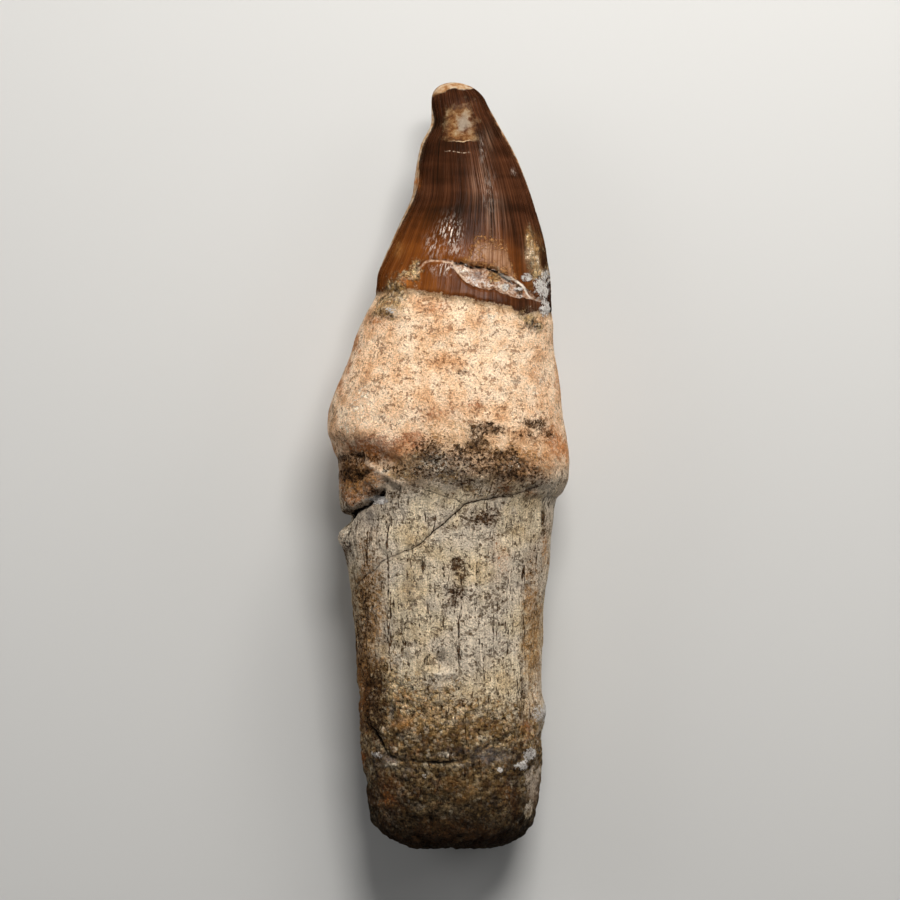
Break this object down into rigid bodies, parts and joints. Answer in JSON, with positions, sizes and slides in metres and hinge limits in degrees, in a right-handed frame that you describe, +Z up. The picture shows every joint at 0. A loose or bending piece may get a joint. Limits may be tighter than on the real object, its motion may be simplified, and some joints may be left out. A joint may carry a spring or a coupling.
{
  "type": "fossil mosasaur tooth",
  "caption": "Curved, keeled fossil tooth of a marine reptile, grown in one piece with its long bony root and lying on small worn flats on its back.",
  "frame": {"origin": "centre of the tooth's bounding box, on the surface that it lies on", "axes": "+Y along the tooth from the root's end to the crown's tip, +X towards the crown's convex edge, +Z up from the surface that it lies on"},
  "size_m": [0.0393, 0.125, 0.0311],
  "materials": {
    "fossil_tooth": "rough mineralised bone with a glossy brown enamel crown"
  },
  "bodies": {
    "root": {"tooth": "fossil_tooth"}
  },
  "joints": []
}
